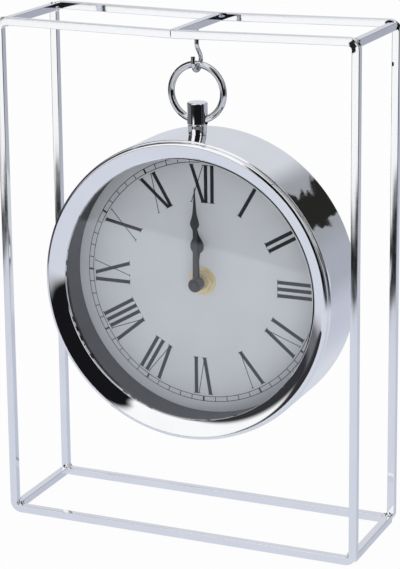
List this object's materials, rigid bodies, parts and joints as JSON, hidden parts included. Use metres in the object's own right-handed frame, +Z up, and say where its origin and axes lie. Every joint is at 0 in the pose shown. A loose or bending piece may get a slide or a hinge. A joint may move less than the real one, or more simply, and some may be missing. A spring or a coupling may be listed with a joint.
{
  "type": "table clock",
  "caption": "Round chrome case with a pale dial and black spade hands hanging by its bow from a hook inside a standing open frame of square chrome wire; shows the time on a table or shelf.",
  "frame": {"origin": "middle of the frame's footprint, on the surface it stands on", "axes": "+Z up, the dial looks along -Y, +X to the right of someone who reads the dial"},
  "size_m": [0.197, 0.064, 0.269],
  "materials": {
    "chrome": "polished plate",
    "brass": "polished",
    "steel": "plain bright steel",
    "copper": "enamelled copper wire",
    "glass": "clear, polished",
    "dial": "matt printed sheet",
    "hand_black": "matt black paint",
    "dark_plastic": "satin dark grey",
    "housing": "matt black",
    "rubber": "matt",
    "cover": "satin grey paint",
    "gear": "natural moulded",
    "board": "green resist",
    "cell": "plain grey jacket"
  },
  "bodies": {
    "frame": {"front_loop": "chrome", "rear_loop": "chrome", "top_left_bar": "chrome", "top_right_bar": "chrome", "bottom_left_bar": "chrome", "bottom_right_bar": "chrome", "hanger_bar": "chrome", "hook": "chrome"},
    "bow": {"bow": "chrome"},
    "clock": {"stem": "chrome", "stem_nut": "steel", "case_drum": "chrome", "bezel": "chrome", "glass": "glass", "front_spacer_ring": "dark_plastic", "dial": "dial", "rear_spacer_ring": "dark_plastic", "back_cover": "cover", "cover_screw_1": "steel", "cover_screw_2": "steel", "cover_screw_3": "steel", "cover_screw_4": "steel", "movement_front": "housing", "movement_rear": "housing", "hand_bush": "brass", "rubber_washer": "rubber", "brass_washer": "brass", "brass_nut": "brass", "stator": "steel", "coil": "copper", "circuit_board": "board", "quartz_crystal": "steel", "battery": "cell", "contact_positive": "steel", "contact_negative": "steel"},
    "minute": {"minute_cannon": "brass", "minute_hand": "hand_black", "hand_cap": "hand_black"},
    "hour": {"hour_wheel": "gear", "hour_hand": "hand_black"},
    "motion": {"motion_wheel": "gear"},
    "setting": {"setting_wheel": "gear", "set_knob": "housing"},
    "seconds": {"seconds_wheel": "gear"},
    "third": {"third_wheel": "gear"},
    "centre": {"centre_wheel": "gear"},
    "intermediate": {"intermediate_wheel": "gear"},
    "rotor": {"rotor": "steel"}
  },
  "joints": [
    {"name": "bow_sway", "type": "hinge", "parent": "frame", "child": "bow", "pos_m": [0, 0, 0.2421], "axis": [0, 1, 0], "range_deg": [-7, 7]},
    {"name": "clock_nod", "type": "hinge", "parent": "bow", "child": "clock", "pos_m": [0, 0, 0.21675], "axis": [1, 0, 0], "range_deg": [-25, 25]},
    {"name": "minute_turn", "type": "hinge", "parent": "clock", "child": "minute", "pos_m": [0, 0.008, 0.12975], "axis": [0, 1, 0], "continuous": true},
    {"name": "hour_turn", "type": "hinge", "parent": "clock", "child": "hour", "pos_m": [0, 0.008, 0.12975], "axis": [0, 1, 0], "continuous": true},
    {"name": "motion_turn", "type": "hinge", "parent": "clock", "child": "motion", "pos_m": [-0.00274, 0.008, 0.13727], "axis": [0, 1, 0], "continuous": true},
    {"name": "setting_turn", "type": "hinge", "parent": "clock", "child": "setting", "pos_m": [-0.01001, 0.008, 0.14147], "axis": [0, 1, 0], "continuous": true},
    {"name": "seconds_turn", "type": "hinge", "parent": "clock", "child": "seconds", "pos_m": [0, 0.008, 0.12975], "axis": [0, 1, 0], "continuous": true},
    {"name": "third_turn", "type": "hinge", "parent": "clock", "child": "third", "pos_m": [-0.0108, 0.008, 0.12975], "axis": [0, 1, 0], "continuous": true},
    {"name": "centre_turn", "type": "hinge", "parent": "clock", "child": "centre", "pos_m": [0, 0.008, 0.12975], "axis": [0, 1, 0], "continuous": true},
    {"name": "intermediate_turn", "type": "hinge", "parent": "clock", "child": "intermediate", "pos_m": [0.00858, 0.008, 0.13695], "axis": [0, 1, 0], "continuous": true},
    {"name": "rotor_turn", "type": "hinge", "parent": "clock", "child": "rotor", "pos_m": [0.01535, 0.008, 0.13449], "axis": [0, 1, 0], "continuous": true}
  ],
  "couplings": [
    {"joint": "hour_turn", "follows": "minute_turn", "ratio": 0.083333},
    {"joint": "motion_turn", "follows": "minute_turn", "ratio": -0.33333},
    {"joint": "setting_turn", "follows": "minute_turn", "ratio": 0.83333},
    {"joint": "third_turn", "follows": "seconds_turn", "ratio": -0.13333},
    {"joint": "centre_turn", "follows": "seconds_turn", "ratio": 0.016667},
    {"joint": "intermediate_turn", "follows": "seconds_turn", "ratio": -6},
    {"joint": "rotor_turn", "follows": "seconds_turn", "ratio": 30}
  ]
}
